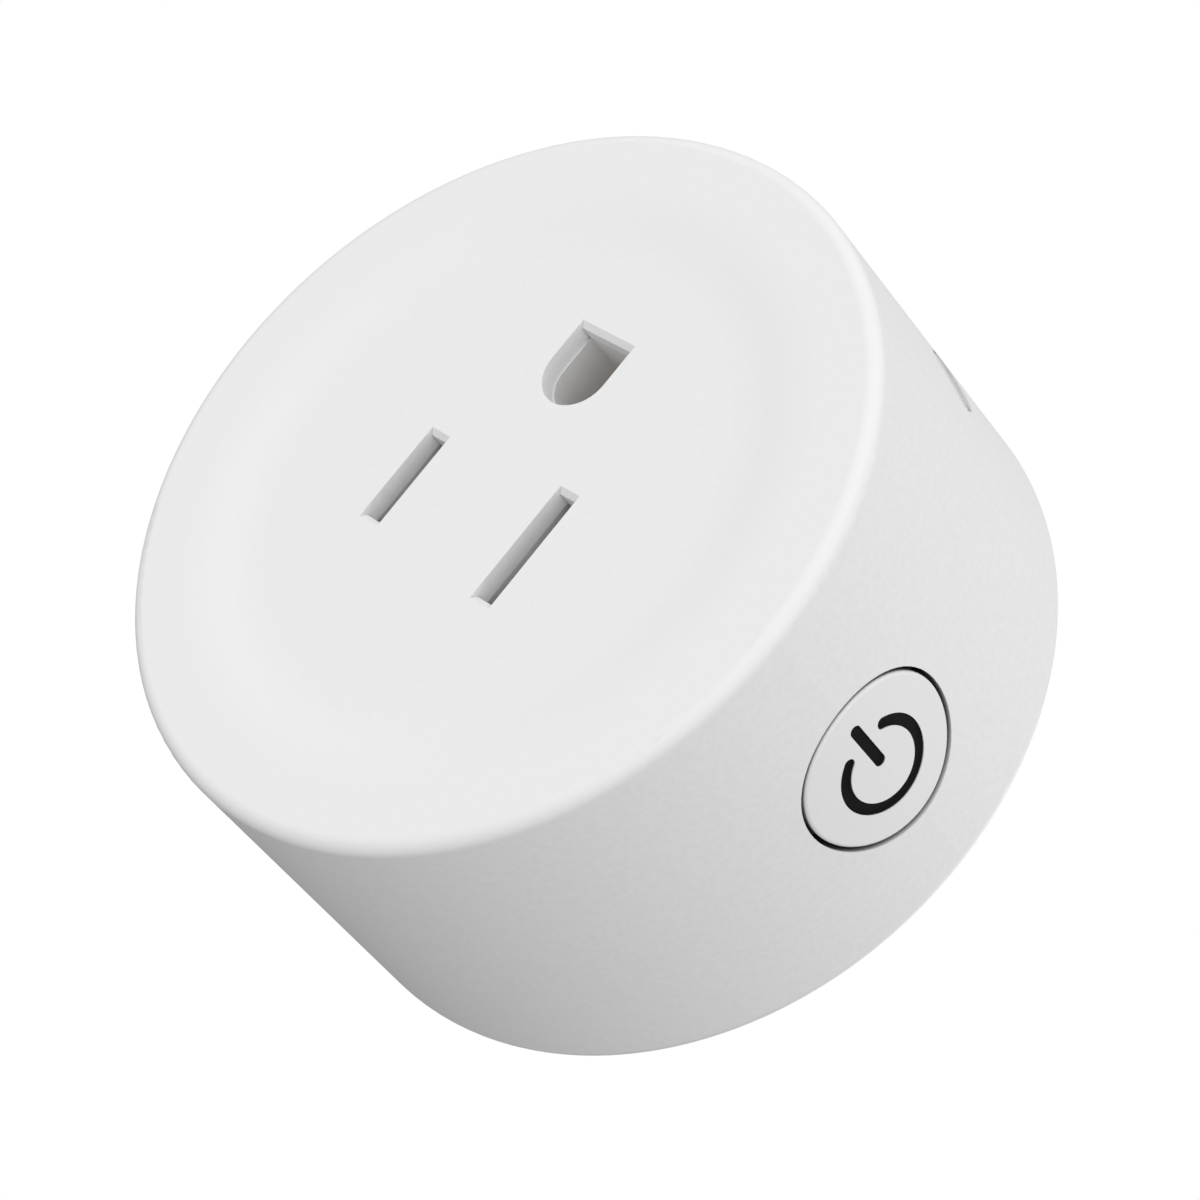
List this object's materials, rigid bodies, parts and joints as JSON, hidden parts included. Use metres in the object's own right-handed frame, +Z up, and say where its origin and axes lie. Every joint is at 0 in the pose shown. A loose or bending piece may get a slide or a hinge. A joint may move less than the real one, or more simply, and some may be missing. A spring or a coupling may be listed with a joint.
{
  "type": "smart plug",
  "caption": "Round wall smart plug: grounded two-blade outlet on its front, blades and ground pin behind, side power button.",
  "frame": {"origin": "centre of the round rear face, which lies on the outlet's wall plate", "axes": "+Y into the wall, along the blades and away from the user; +Z up, towards the ground hole; +X right as the user sees it, towards the power button"},
  "size_m": [0.057, 0.0491, 0.057],
  "materials": {
    "cover_plastic": "fine satin moulded white plastic",
    "button_plastic": "fine satin moulded white plastic",
    "symbol_ink": "black fill",
    "lens_plastic": "milky translucent plastic",
    "led_resin": "clear resin",
    "screw_steel": "zinc plated",
    "blade_metal": "nickel plated brass, satin",
    "pin_metal": "nickel plated brass, satin",
    "carrier_plastic": "unfinished white moulding",
    "contact_metal": "bare phosphor bronze",
    "strap_metal": "bare copper",
    "board_laminate": "green solder mask",
    "radio_laminate": "dark blue solder mask",
    "shield_metal": "tinned can",
    "antenna_metal": "gold plated trace",
    "pin_header_metal": "gold flash",
    "switch_plastic": "black",
    "plunger_plastic": "black",
    "relay_plastic": "black moulded case",
    "varistor_coating": "blue dipped epoxy",
    "fuse_coating": "green lacquer",
    "inductor_ferrite": "ferrite in a heat-shrink sleeve",
    "capacitor_sleeve": "black shrink sleeve",
    "small_capacitor_sleeve": "dark blue shrink sleeve",
    "chip_epoxy": "black epoxy"
  },
  "bodies": {
    "housing": {"front_cover": "cover_plastic", "rear_cover": "cover_plastic", "status_lens": "lens_plastic", "status_led": "led_resin", "cover_screws": "screw_steel", "line_blade": "blade_metal", "neutral_blade": "blade_metal", "ground_pin": "pin_metal", "contact_carrier": "carrier_plastic", "line_contact": "contact_metal", "neutral_contact": "contact_metal", "ground_contact": "contact_metal", "line_strap": "strap_metal", "main_board": "board_laminate", "radio_board": "radio_laminate", "radio_shield": "shield_metal", "radio_antenna": "antenna_metal", "header_pins": "pin_header_metal", "switch_body": "switch_plastic", "relay": "relay_plastic", "surge_varistor": "varistor_coating", "fuse_resistor": "fuse_coating", "filter_inductor": "inductor_ferrite", "bulk_capacitor_left": "capacitor_sleeve", "bulk_capacitor_right": "capacitor_sleeve", "output_capacitor": "small_capacitor_sleeve", "bridge_rectifier": "chip_epoxy", "converter_chip": "chip_epoxy"},
    "button": {"power_button": "button_plastic", "button_symbol": "symbol_ink"},
    "plunger": {"switch_plunger": "plunger_plastic"}
  },
  "joints": [
    {"name": "button_press", "type": "slide", "parent": "housing", "child": "button", "axis": [-1, 0, 0], "range_m": [0, 0.00035], "stiffness_N_per_m": 3000},
    {"name": "plunger_press", "type": "slide", "parent": "housing", "child": "plunger", "axis": [-1, 0, 0], "range_m": [0, 0.00035]}
  ],
  "couplings": [
    {"joint": "plunger_press", "follows": "button_press", "ratio": 1}
  ]
}
